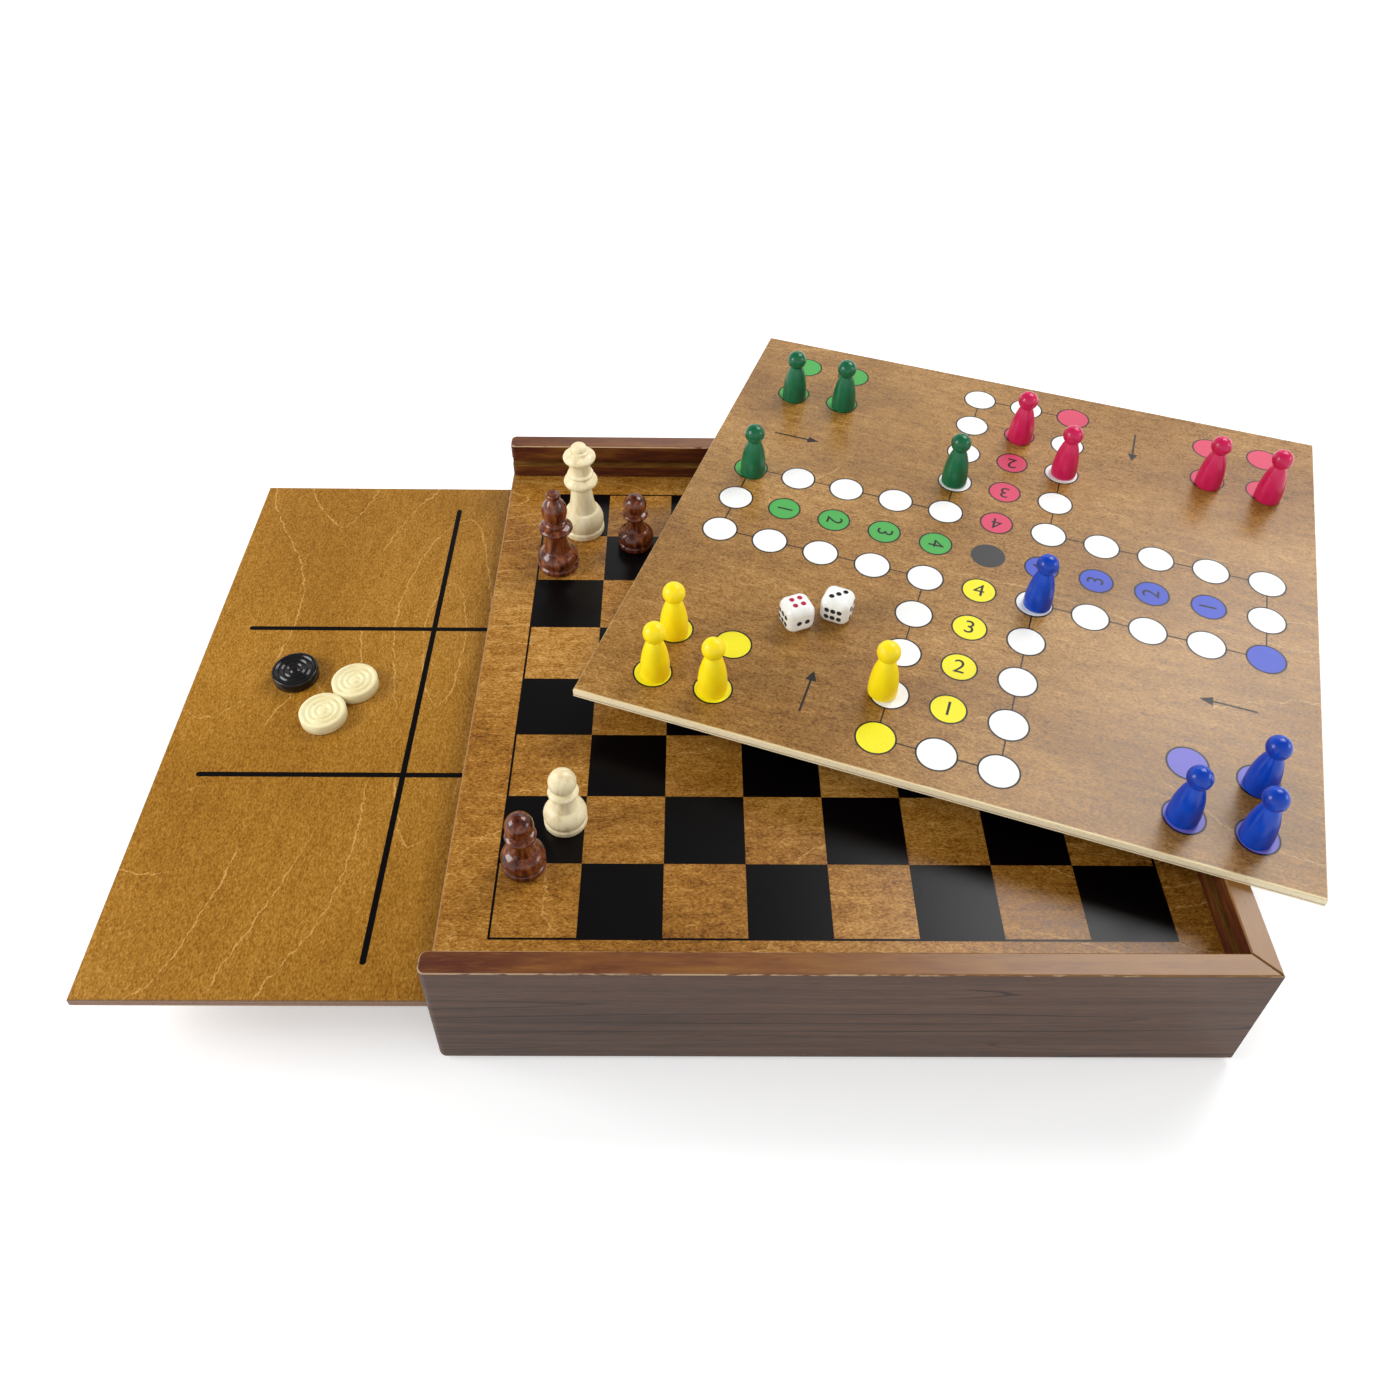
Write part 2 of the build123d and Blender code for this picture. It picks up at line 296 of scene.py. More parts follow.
def wall_wood(name, along):
    """Stained hardwood with its grain along one axis: grey-brown with dark growth lines outside,
    red-brown to golden on top with pale arrises, part wear and part painted highlight, and dark
    red-brown within, darkened as painted shade inside the box."""
    finish = Finish(bpy.data.materials.new(name))
    place = finish.millimetres()
    x, y, z = finish.parts(place)
    here = finish.grain(place, along)
    bent = finish.warped(finish.stretch(here, 0.02), 4.0, 0.7)
    rings = finish.noise(bent, 3.4, detail=4, rough=0.6)
    fibres = finish.noise(finish.stretch(here, 0.05), 0.5, detail=2, rough=0.6)
    dashes = finish.noise(finish.stretch(here, 0.16), 0.8, detail=2)
    patches = finish.noise(finish.stretch(here, 0.16), 5.5, detail=3, rough=0.6)
    drift = finish.noise(finish.stretch(here, 0.4), 60, detail=1)
    facing = finish.parts(finish.place.outputs["Normal"])

    tone = finish.sum((rings, 0.8), (fibres, 0.55), (dashes, 0.4), (drift, 0.5))
    outside = finish.ramp(tone, (0.2, seen(60, 40, 30)), (0.5, seen(83, 59, 46)),
                          (0.85, seen(106, 79, 62)))
    drawn = finish.stretch(here, 0.2)
    wavy = finish.warped(drawn, 4.0, 0.5, detail=1)
    growth = finish.contours(drawn, wavy, 0.2, 12, 4, 0.15, 0.4, across=(0, 0, 1))
    lasting = finish.noise(finish.stretch(here, 0.05), 7, detail=1)
    growth = finish.times(growth, finish.rise(lasting, 0.38, 0.6))
    outside = finish.mix(finish.times(growth, 0.8), outside, seen(34, 18, 12))

    # On top red-brown gives way to golden-brown from the open end to the closed one.
    golden = finish.plus(finish.times(x, 0.0022), finish.sum((patches, 0.9), (rings, 0.5)))
    top = finish.ramp(golden, (0.1, seen(84, 36, 16)), (0.42, seen(120, 70, 24)),
                      (0.75, seen(142, 96, 34)))
    grit = finish.sum((fibres, 0.9), (dashes, 0.5))
    top = finish.mix(finish.times(finish.rise(grit, 0.5, 0.9), 0.35), top, seen(164, 120, 60))
    top = finish.mix(finish.times(finish.rise(grit, 0.45, 0.1), 0.5), top, seen(64, 28, 12))
    # Dark red-brown for the inner faces: the wood's patches, darkened as painted shade inside the box.
    inner = finish.ramp(finish.sum((patches, 1.2), (fibres, 0.4)), (0.25, seen(52, 17, 14)),
                        (0.5, seen(84, 38, 18)), (0.8, seen(124, 78, 26)))

    # The inner faces, those that look back to the middle of the box, take the darker colour: painted shade
    # inside the box.
    side, depth = (facing[1], y) if along == "X" else (facing[0], x)
    painted_shade_within = finish.times(finish.times(side, depth), -0.01)
    colour = finish.mix(finish.rise(painted_shade_within, 0.2, 0.6), outside, inner)
    upward = finish.rise(facing[2], 0.45, 0.8)
    on_top = finish.times(upward, finish.rise(z, WALL_TOP - 2.0, WALL_TOP - 0.7))
    colour = finish.mix(on_top, colour, top)
    ledge = finish.mix(finish.rise(fibres, 0.3, 0.7), seen(96, 58, 22), seen(146, 102, 44))
    on_ledge = finish.times(upward, finish.rise(z, WALL_TOP - 1.5, WALL_TOP - 2.5))
    colour = finish.mix(on_ledge, colour, ledge)

    # Pale arrises: a broken pale line on the eased edges of the top, stronger at the open end, part wear and
    # part painted highlight along the edges.
    scuffs_and_highlight = finish.plus(finish.sum((dashes, 1.0), (patches, 0.6)), finish.times(x, -0.0012))
    arris = finish.band(z, WALL_TOP - 0.38, 0.18, 0.1)
    worn = finish.times(arris, finish.rise(scuffs_and_highlight, 0.42, 0.62))
    colour = finish.mix(finish.times(worn, 0.8), colour, seen(196, 164, 126))

    # The glued mitres at the closed end show as a thin dark line.
    from_side = finish.minus(BOX_HALF_WIDTH, finish.math("ABSOLUTE", y))
    from_end = finish.minus(BOX_HALF_LENGTH, x)
    mitre = finish.band(finish.minus(from_side, from_end), 0.0, 0.12, 0.14)
    colour = finish.mix(finish.times(mitre, 0.85), colour, seen(40, 22, 14))

    # End grain at the open end.
    if along == "X":
        rays = finish.noise(finish.stretch(place, z=0.5), 0.9, detail=3)
        end_grain = finish.ramp(rays, (0.3, seen(60, 40, 28)), (0.7, seen(108, 86, 62)))
        end = finish.rise(finish.times(facing[0], -1.0), 0.6, 0.9)
        colour = finish.mix(end, colour, end_grain)
    varnish = finish.plus(finish.times(upward, 0.55), 0.1)
    finish.set(Base_Color=colour, Roughness=finish.sum((dashes, 0.2), (patches, 0.2)),
               Specular_IOR_Level=0.2, Coat_Weight=varnish, Coat_Roughness=0.27)
    finish.relief(finish.plus(fibres, dashes), 0.02)
    return finish.owner


def panel_ply(name):
    """The bottom panel: thin stained ply with a coarse grain along X."""
    finish = Finish(bpy.data.materials.new(name))
    here = finish.millimetres()
    bent = finish.warped(finish.stretch(here, 0.03), 6.0, 2.0)
    grain = finish.noise(bent, 7.0, detail=4, rough=0.6)
    fibres = finish.noise(finish.stretch(here, 0.05), 0.5, detail=2)
    colour = finish.ramp(grain, (0.35, seen(112, 78, 50)), (0.5, seen(146, 106, 70)),
                         (0.65, seen(164, 124, 84)))
    colour = finish.mix(finish.times(finish.rise(fibres, 0.5, 0.8), 0.4), colour, seen(96, 64, 40))
    finish.set(Base_Color=colour, Roughness=0.6)
    finish.relief(finish.plus(fibres, grain), 0.04)
    return finish.owner


def ink(name, colour, roughness=0.4, shine=0.3):
    """Screen-printed ink: flat colour with the wood's pores faint in it."""
    finish = Finish(bpy.data.materials.new(name))
    here = finish.millimetres()
    pores = finish.noise(here, 0.7, detail=2)
    worn = tuple(0.9 * v for v in colour[:3]) + (1.0,)
    finish.set(Base_Color=finish.mix(finish.rise(pores, 0.5, 0.8), colour, worn), Roughness=roughness,
               Specular_IOR_Level=shine)
    finish.relief(pores, 0.02)
    return finish.owner


def gloss_paint(name, colour, deep, roughness=0.25):
    """Dipped paint on a turned piece: long upright patches a shade deeper at random, with the orange peel of
    thick paint and the turning's rings faint below it."""
    finish = Finish(bpy.data.materials.new(name))
    here = finish.millimetres()
    drift = finish.noise(finish.stretch(here, z=0.5), 7.0, detail=1)
    rings = finish.noise(finish.stretch(here, 0.1, 0.1), 0.8, detail=2)
    peel = finish.noise(here, 1.3, detail=1)
    finish.set(Base_Color=finish.mix(finish.rise(drift, 0.3, 0.75), colour, deep),
               Specular_IOR_Level=SATIN, Roughness=finish.plus(finish.times(peel, 0.1), roughness - 0.05))
    finish.relief(finish.plus(finish.times(rings, 0.5), peel), 0.02)
    return finish.owner


def turned_wood(name, tones, roughness, coat):
    """Varnished wood turned on a lathe, with its grain upright. tones are dark, middle and light."""
    finish = Finish(bpy.data.materials.new(name))
    here = finish.millimetres()
    bent = finish.warped(finish.stretch(here, z=0.12), 4.0, 1.2)
    grain = finish.noise(bent, 2.6, detail=4, rough=0.62)
    pores = finish.noise(finish.stretch(here, z=0.1), 0.35, detail=2)
    dark, middle, light = tones
    colour = finish.ramp(grain, (0.33, dark), (0.5, middle), (0.68, light))
    colour = finish.mix(finish.times(finish.rise(pores, 0.52, 0.75), 0.35), colour, dark)
    rings = finish.noise(finish.stretch(here, 0.05, 0.05), 0.45, detail=2)
    finish.set(Base_Color=colour, Roughness=roughness, Specular_IOR_Level=0.3, Coat_Weight=coat,
               Coat_Roughness=0.06)
    finish.relief(finish.plus(rings, finish.times(pores, 0.4)), 0.02)
    return finish.owner


def plastic(name, colour, roughness):
    """Moulded plastic with the faintest unevenness."""
    finish = Finish(bpy.data.materials.new(name))
    here = finish.millimetres()
    drift = finish.noise(here, 3.0, detail=2)
    shaded = tuple(0.93 * v for v in colour[:3]) + (1.0,)
    finish.set(Base_Color=finish.mix(finish.rise(drift, 0.4, 0.7), colour, shaded), Roughness=roughness)
    finish.relief(finish.noise(here, 0.8, detail=1), 0.008)
    return finish.owner


# ---- Walls, panel and boards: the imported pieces, dressed -----------------------------------------


def dress(node, material):
    """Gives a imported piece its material."""
    slots = frame["nodes"][node].data.materials
    slots.clear()
    slots.append(material)


front_low, front_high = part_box("front_wall")
BOX_HALF_LENGTH = front_high.x / MM
BOX_HALF_WIDTH = -front_low.y / MM
WALL_TOP = front_high.z / MM

long_wall = wall_wood("wall_wood_along", "X")
cross_wall = wall_wood("wall_wood_across", "Y")
for wall in ("front_wall", "back_wall"):
    dress(wall, long_wall)
for wall in ("right_wall", "left_wall"):
    dress(wall, cross_wall)
dress("bottom_panel", panel_ply("panel_ply"))

# The boards' stains, as birch_ply's tones, and the layers of their edges from the underside up.
GOLDEN = (seen(108, 64, 12), seen(155, 106, 26), seen(196, 146, 68), seen(212, 164, 92), seen(172, 132, 92))
TAWNY = (seen(96, 54, 16), seen(161, 108, 34), seen(214, 164, 90), seen(206, 160, 92), seen(176, 134, 92))
BROWN = (seen(88, 52, 16), seen(150, 106, 44), seen(204, 160, 96), seen(204, 166, 106), seen(232, 212, 164))
DARK_EDGE = ((0.0, seen(56, 30, 18)), (0.12, seen(76, 44, 26)), (0.2, seen(142, 98, 56)),
             (0.5, seen(116, 76, 42)), (0.56, seen(62, 36, 20)), (0.62, seen(146, 104, 60)),
             (0.82, seen(124, 84, 48)), (0.9, seen(58, 32, 18)), (1.0, seen(104, 66, 36)))
PALE_EDGE = ((0.0, seen(120, 84, 52)), (0.1, seen(246, 230, 192)), (0.26, seen(250, 236, 200)),
             (0.32, seen(112, 78, 50)), (0.38, seen(240, 220, 180)), (0.62, seen(252, 240, 206)),
             (0.9, seen(248, 234, 198)), (1.0, seen(226, 200, 156)))
BOARDS = {
    "chess": dict(turn=0, grain="X", tones=TAWNY, figure=(0.6, 0.3, 0.35, 1.15), veins=(46, 9, 0.45),
                  pale_side=(0, -137.9, -138.7), edge_stops=DARK_EDGE),
    "tictactoe": dict(turn=0, grain="Y", tones=GOLDEN, figure=(0.4, 0.15, 0.15, 1.2), veins=(64, 9, 0.4),
                      pale_side=(0, -138.3, -138.8), edge_stops=DARK_EDGE),
    "ludo": dict(turn=LUDO_TURN, grain="X", tones=BROWN, figure=(0.5, 0.3, 0.25, 1.0), veins=(56, 7, 0.56),
                 pale_side=(1, -133.0, -133.9), edge_stops=PALE_EDGE),
}
for board, look in BOARDS.items():
    dress(f"{board}_board", birch_ply(f"{board}_ply", f"{board}_board", **look))


# ---- Prints -------------------------------------------------------------------------------------


def placed(name, data):
    """A new object in the scene."""
    made = bpy.data.objects.new(name, data)
    bpy.context.scene.collection.objects.link(made)
    return made


def finished(piece, name):
    """The piece's mesh as it is seen, with its modifiers applied."""
    bpy.context.view_layer.update()
    mesh = bpy.data.meshes.new_from_object(piece.evaluated_get(bpy.context.evaluated_depsgraph_get()))
    mesh.name = name
    return mesh


class Print:
    """One colour of ink on a board: thin closed shapes in millimetres from the board's middle."""

    def __init__(self, board, body, turn, lift=FILM):
        low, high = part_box(board)
        middle = Vector(((low.x + high.x) / 2, (low.y + high.y) / 2, high.z))
        self.body = body
        self.to_row = Matrix.Translation(middle) @ Matrix.Rotation(math.radians(turn), 4, "Z")
        self.top, self.bottom = lift * MM, -FILM * MM
        self.mesh = bmesh.new()

    def loop(self, points, level):
        return [self.mesh.verts.new(self.to_row @ Vector((x * MM, y * MM, level))) for x, y in points]

    def shape(self, outer, inner=None):
        """A filled outline, counter-clockwise, or the band between two outlines of as many points."""
        upper, lower = self.loop(outer, self.top), self.loop(outer, self.bottom)
        self.skirt(lower, upper)
        if inner is None:
            self.mesh.faces.new(upper)
            self.mesh.faces.new(lower[::-1])
            return
        upper_hole, lower_hole = self.loop(inner, self.top), self.loop(inner, self.bottom)
        self.skirt(upper_hole, lower_hole)
        self.skirt(upper, upper_hole)
        self.skirt(lower_hole, lower)

    def skirt(self, below, above):
        """Faces between two loops."""
        for i in range(len(below)):
            k = (i + 1) % len(below)
            self.mesh.faces.new((below[i], below[k], above[k], above[i]))

    def circle(self, centre, diameter, hole=None, steps=56):
        ring = [(math.cos(a), math.sin(a)) for a in (2 * math.pi * i / steps for i in range(steps))]
        outer, inner = ([(centre[0] + d / 2 * c, centre[1] + d / 2 * s) for c, s in ring] for d in
                        (diameter, hole or 0))
        self.shape(outer, inner if hole else None)

    def stroke(self, start, end, width, rounded=False, steps=8):
        """A straight line with square or round ends."""
        a, b = Vector(start), Vector(end)
        heading = math.atan2(b.y - a.y, b.x - a.x)
        turns = steps if rounded else 1
        points = []
        for at, first in ((a, heading + math.pi / 2), (b, heading - math.pi / 2)):
            for i in range(turns + 1):
                angle = first + math.pi * i / turns
                points.append((at.x + width / 2 * math.cos(angle), at.y + width / 2 * math.sin(angle)))
        self.shape(points)

    def numeral(self, text, centre, turn):
        """A plain figure, upright when turn is 0."""
        curve = bpy.data.curves.new("numeral", "FONT")
        curve.body, curve.align_x, curve.align_y = text, "CENTER", "CENTER"
        curve.size = NUMERAL_HEIGHT * MM / FIGURE_SHARE
        curve.extrude = FILM * MM
        writer = placed("numeral", curve)
        flat = finished(writer, "numeral")
        bpy.data.objects.remove(writer)
        put = Matrix.Translation((centre[0] * MM, centre[1] * MM, self.top - FILM * MM))
        flat.transform(self.to_row @ put @ Matrix.Rotation(math.radians(turn), 4, "Z"))
        self.mesh.from_mesh(flat)
        bpy.data.meshes.remove(flat)

    def lay(self, name, material):
        """Makes the object, which rides on the board's body."""
        mesh = bpy.data.meshes.new(name)
        bmesh.ops.remove_doubles(self.mesh, verts=self.mesh.verts, dist=1e-7)
        self.mesh.to_mesh(mesh)
        self.mesh.free()
        mesh.materials.append(material)
        made = placed(name, mesh)
        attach(made, self.body)


BLACK_INK = ink("ink_black", seen(4, 2, 3), roughness=0.28, shine=0.21)
LINE_INK = ink("ink_line", seen(14, 10, 11))
INKS = {
    "white": ink("ink_white", seen(243, 243, 241)),
    "yellow": ink("ink_yellow", seen(242, 230, 22)),
    "green": ink("ink_green", seen(72, 166, 76)),
    "red": ink("ink_red", seen(208, 66, 98)),
    "blue": ink("ink_blue", seen(66, 84, 192)),
    "grey": ink("ink_grey", seen(56, 54, 54)),
    "pale_blue": ink("ink_pale_blue", seen(118, 112, 202)),
}


def square(x, y, half):
    return [(x - half, y - half), (x + half, y - half), (x + half, y + half), (x - half, y + half)]


def chess_print():
    """Sixty-four squares in a thin outline: the dark ones are printed, from the front row's second."""
    low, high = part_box("chess_board")
    cx = CHESS_GRID_CENTRE[0] - (low.x + high.x) / 2 / MM
    cy = CHESS_GRID_CENTRE[1]
    black = Print("chess_board", "chess", 0)
    for column in range(8):
        for row in range(8):
            if (column + row) % 2:
                black.shape(square(cx + (column - 3.5) * CHESS_SQUARE, cy + (row - 3.5) * CHESS_SQUARE,
                                   CHESS_SQUARE / 2))
    half = 4 * CHESS_SQUARE
    black.shape(square(cx, cy, half + CHESS_OUTLINE), square(cx, cy, half))
    black.lay("chess_squares", BLACK_INK)


def tictactoe_print():
    """Two lines each way with round ends."""
    across = Print("tictactoe_board", "tictactoe", 0)
    upright = Print("tictactoe_board", "tictactoe", 0, lift=FILM + INK_STEP)
    cx, cy = CROSS_CENTRE
    reach = CROSS_LENGTH / 2
    for off in (-CROSS_SPACING, CROSS_SPACING):
        across.stroke((cx - reach, cy + off), (cx + reach, cy + off), CROSS_WIDTH, rounded=True)
        upright.stroke((cx + off, cy - reach), (cx + off, cy + reach), CROSS_WIDTH, rounded=True)
    across.lay("tictactoe_lines", BLACK_INK)
    upright.lay("tictactoe_uprights", BLACK_INK)


def ludo_print():
    """The cross of circles, each arm the one before turned by a quarter, with its coloured way home,
    its start, its corner and its arrow. Cells count from the middle of the cross."""
    arms = ("yellow", "green", "red", "blue")
    prints = {name: Print("ludo_board", "ludo", LUDO_TURN, lift=FILM + INK_STEP) for name in INKS}
    lines = Print("ludo_board", "ludo", LUDO_TURN)
    figures = Print("ludo_board", "ludo", LUDO_TURN, lift=FILM + 2 * INK_STEP)

    def at(cell, arm):
        """A cell of the front arm, turned to the arm given, in the board's millimetres."""
        x, y = cell
        for _ in range(arm):
            x, y = y, -x
        return x * LUDO_PITCH + LUDO_PRINT_OFFSET[0], y * LUDO_PITCH + LUDO_PRINT_OFFSET[1]

    def spot(colour, place, diameter):
        lines.circle(place, diameter, hole=diameter - 2 * OUTLINE)
        prints[colour].circle(place, diameter - 2 * OUTLINE)

    # The way round the front arm, from the inner corner on its left out to the tip and back. Each arm
    # ends where the next begins.
    track = [(-1, -n) for n in range(1, 6)] + [(0, -5)] + [(1, -n) for n in range(5, 1, -1)]
    start = (-1, -5)
    homes = [(-x, -y) for y in (HOME_FAR, HOME_NEAR) for x in (HOME_FAR, HOME_NEAR)]
    for arm, colour in enumerate(arms):
        for cell, after in zip(track, track[1:] + [(1, -1)]):
            spot(colour if cell == start else "white", at(cell, arm), TRACK_CIRCLE)
            a, b = Vector(at(cell, arm)), Vector(at(after, arm))
            inset = (b - a).normalized() * (TRACK_CIRCLE / 2 - OUTLINE / 2)
            lines.stroke(a + inset, b - inset, LINK)
        for number in range(1, 5):
            place = at((0, number - 5), arm)
            spot(colour, place, LETTER_CIRCLE)
            figures.numeral(str(number), place, -90 * arm)
        corner = "pale_blue" if colour == "blue" else colour
        for cell in homes:
            spot(corner, at(cell, arm), HOME_CIRCLE)
        tail, tip = Vector(at(ARROW_TAIL, arm)), Vector(at(ARROW_TIP, arm))
        along = (tip - tail).normalized()
        side = Vector((-along.y, along.x)) * ARROW_HEAD[1] / 2
        neck = tip - along * ARROW_HEAD[0]
        lines.stroke(tail, neck, ARROW_STROKE)
        lines.shape([tip, neck + side, neck - side])
    prints["grey"].circle(at((0, 0), 0), LETTER_CIRCLE)
    for name, layer in prints.items():
        layer.lay(f"ludo_{name}", INKS[name])
    lines.lay("ludo_lines", LINE_INK)
    figures.lay("ludo_numerals", LINE_INK)


chess_print()
tictactoe_print()
ludo_print()


# ---- Turned pieces ------------------------------------------------------------------------------


def outline(foot_radius, *runs, steps=14):
    """An outline (radius, height) from the middle of the foot to the tip. One point is a straight
    run, and a pair of them is a curve by its middle and its end: an arc if it ends on the axis."""
    points = [(0.0, 0.0), (foot_radius, 0.0)]
    for run in runs:
        if not isinstance(run[0], tuple):
            points.append(run)
            continue
        (mx, my), (ex, ey) = run
        sx, sy = points[-1]
        if ex == 0:
            centre = ey - mx
            first = math.atan2(sy - centre, sx)
            for i in range(1, 2 * steps + 1):
                angle = first + (math.pi / 2 - first) * i / (2 * steps)
                points.append((mx * math.cos(angle), centre + mx * math.sin(angle)))
        else:
            cx, cy = 2 * mx - (sx + ex) / 2, 2 * my - (sy + ey) / 2
            for i in range(1, steps + 1):
                t = i / steps
                points.append(tuple((1 - t) ** 2 * s + 2 * t * (1 - t) * c + t * t * e for s, c, e in
                                    ((sx, cx, ex), (sy, cy, ey))))
    if points[-1][0] > 1e-6:
        points.append((0.0, points[-1][1]))
    return points


SHARP = math.radians(18)  # a smaller turn in an outline is part of a curve
PEG_EASE = 0.3  # rounding of the sharp corners
CHESSMAN_EASE = 0.25


def softened(points, radius):
    """Rounds the sharp corners of an outline by about radius millimetres."""
    result = [points[0]]
    for before, at, after in zip(points, points[1:], points[2:]):
        a, b, c = Vector(before), Vector(at), Vector(after)
        into, out = b - a, c - b
        turn = into.angle(out) if into.length and out.length else 0
        if turn < SHARP:
            result.append(at)
            continue
        reach = min(radius, into.length * 0.4, out.length * 0.4)
        start, end = b - into.normalized() * reach, b + out.normalized() * reach
        for i in range(5):
            t = i / 4
            result.append(tuple((1 - t) ** 2 * start + 2 * t * (1 - t) * b + t * t * end))
    return result + [points[-1]]


def lathe(name, points, material, segments=72):
    """A closed mesh turned about Z from an outline in millimetres."""
    mesh = bmesh.new()
    rings = []
    for radius, height in points:
        if radius < 1e-6:
            rings.append([mesh.verts.new((0, 0, height * MM))])
            continue
        turns = (2 * math.pi * i / segments for i in range(segments))
        rings.append([mesh.verts.new(Vector((radius * math.cos(a), radius * math.sin(a), height)) * MM)
                      for a in turns])
    for lower, upper in zip(rings, rings[1:]):
        for i in range(segments):
            k = (i + 1) % segments
            corners = [lower[i % len(lower)], lower[k % len(lower)],
                       upper[k % len(upper)], upper[i % len(upper)]]
            mesh.faces.new(list(dict.fromkeys(corners)))
    for face in mesh.faces:
        face.smooth = True
    made = bpy.data.meshes.new(name)
    mesh.to_mesh(made)
    mesh.free()
    made.materials.append(material)
    return made


def ball(neck_radius, radius, top):
    """Where a ball leaves its neck, and the run over it to its top."""
    centre = top - radius
    return centre - math.sqrt(radius**2 - neck_radius**2), ((radius, centre), (0, top))


def peg_outline():
    foot, neck, head_radius, height = 5.9, 2.8, 4.6, 27.4
    start, head = ball(neck, head_radius, height)
    return outline(foot - 0.4, (foot, 0.8), ((0.89 * foot, 0.56 * start), (neck, start)), head)


def pawn_outline():
    neck, head_radius, height = 3.9, 5.3, 29.0
    start, head = ball(neck, head_radius, height)
    return outline(7.8, (8.2, 0.6), (8.2, 2.3), (7.5, 3.0), (7.9, 3.8), ((8.05, 6.5), (6.2, 9.0)), (5.0, 9.7),
                   ((3.8, 13.0), (4.0, 16.5)), ((5.85, 18.2), (neck, start - 0.4)), (neck, start), head)


def bishop_outline():
    return outline(8.9, (9.3, 0.6), (9.3, 2.4), (8.4, 3.1), (8.9, 4.0), ((9.1, 6.9), (7.2, 9.7)), (6.1, 10.5),
                   ((4.95, 15.0), (4.7, 20.6)), ((7.65, 22.8), (4.7, 25.0)), ((5.3, 26.1), (4.2, 27.2)),
                   ((5.6, 33.8), (2.4, 39.8)), (3.1, 40.6), (3.1, 42.0), (2.6, 42.6))


def queen_outline():
    return outline(9.3, (9.7, 0.6), (9.7, 2.9), (8.9, 3.7), (9.3, 4.6), ((9.4, 8.7), (7.6, 12.8)),
                   (6.6, 13.5), ((5.4, 19.0), (4.7, 26.8)), ((7.75, 29.6), (5.4, 32.9)),
                   ((6.0, 34.1), (5.1, 35.2)), ((4.85, 38.3), (5.4, 41.1)), ((7.4, 43.2), (6.0, 45.3)),
                   (4.7, 46.0), (4.4, 47.0), (3.5, 47.4), ((3.1, 49.5), (0.9, 50.4)))


def draught_outline(steps=8):
    """A disc with a knob, round ridges and a rim on both faces."""
    radius, height, rim, ridges, relief = 9.6, 5.0, 1.2, 3, 0.65
    pitch = (radius - rim) / (ridges + 0.5)
    face = [(pitch / 2 * (1 + i / steps), height - relief * (0.5 - 0.5 * math.cos(math.pi * i / steps)))
            for i in range(2 * ridges * steps + 1)]
    under = [(r, height - z) for r, z in face]
    edge = [(radius - 0.4, 0.0), (radius, 0.4), (radius, height - 0.4), (radius - 0.4, height)]
    return [(0.0, 0.0)] + under + edge + face[::-1] + [(0.0, height)]


def stand(node, mesh, body):
    """Puts a finished piece where a packed one stands, in its place."""
    low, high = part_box(node)
    made = placed("fine_" + node, mesh)
    made.location = ((low.x + high.x) / 2, (low.y + high.y) / 2, low.z)
    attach(made, body)
    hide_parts(node)
    return made


PEG_PAINTS = {
    "yellow": (seen(255, 232, 22), seen(252, 215, 4)),
    "green": (seen(18, 104, 66), seen(12, 84, 52)),
    "red": (seen(206, 30, 88), seen(184, 16, 68)),
    "blue": (seen(8, 72, 192), seen(3, 46, 152)),
}
for colour, paints in PEG_PAINTS.items():
    paint = gloss_paint(f"peg_{colour}", *paints, roughness=0.34 if colour == "yellow" else 0.22)
    mesh = lathe(f"peg_{colour}", softened(peg_outline(), PEG_EASE), paint)
    for number in range(1, 5):
        node = f"peg_{colour}_{number}"
        stand(node, mesh, node)

boxwood = turned_wood("boxwood", (seen(224, 202, 156), seen(241, 227, 184), seen(246, 235, 199)),
                      roughness=0.36, coat=0.15)
rosewood = turned_wood("rosewood", (seen(44, 12, 6), seen(94, 40, 18), seen(146, 82, 42)),
                       roughness=0.2, coat=0.4)
for node, points, wood, slot in (
    ("queen_cream", queen_outline(), boxwood, "pale_boxwood"),
    ("pawn_cream", pawn_outline(), boxwood, "pale_boxwood"),
    ("bishop_dark", bishop_outline(), rosewood, "dark_rosewood"),
    ("pawn_dark_1", pawn_outline(), rosewood, "dark_rosewood"),
    ("pawn_dark_2", pawn_outline(), rosewood, "dark_rosewood"),
):
    stand(node, lathe(node, softened(points, CHESSMAN_EASE), wood, segments=96), node)

black_paint = gloss_paint("black_lacquer", seen(22, 18, 20), seen(12, 10, 11), roughness=0.18)
cream_paint = gloss_paint("cream_lacquer", seen(238, 229, 184), seen(228, 214, 164), roughness=0.42)
for node, paint, slot in (("draught_black", black_paint, "black_lacquer"),
                          ("draught_cream_1", cream_paint, "cream_lacquer"),
                          ("draught_cream_2", cream_paint, "cream_lacquer")):
    stand(node, lathe(node, draught_outline(), paint, segments=96), node)


# ---- Dice ---------------------------------------------------------------------------------------

DIE = 12.7
DIE_ROUNDING = 3.8
CREASE = math.radians(24)  # a greater angle stays sharp: the rims of the pips
PIP = 2.3
PIP_DEPTH = 0.75
SIDE, ROW, SIX = 2.3, 1.8, 2.75  # how far pips are off the middle: of 3 and 5, of pairs, along 6's rows
PIPS = {
    1: [(0, 0)],
    2: [(-ROW, 0), (ROW, 0)],
    3: [(-SIDE, -SIDE), (0, 0), (SIDE, SIDE)],
    4: [(-ROW, -ROW), (ROW, -ROW), (ROW, ROW), (-ROW, ROW)],
    5: [(-SIDE, -SIDE), (SIDE, -SIDE), (0, 0), (SIDE, SIDE), (-SIDE, SIDE)],
    6: [(x, y) for x in (-SIX, 0, SIX) for y in (-ROW, ROW)],
}
RED_PIPS = (1, 4)
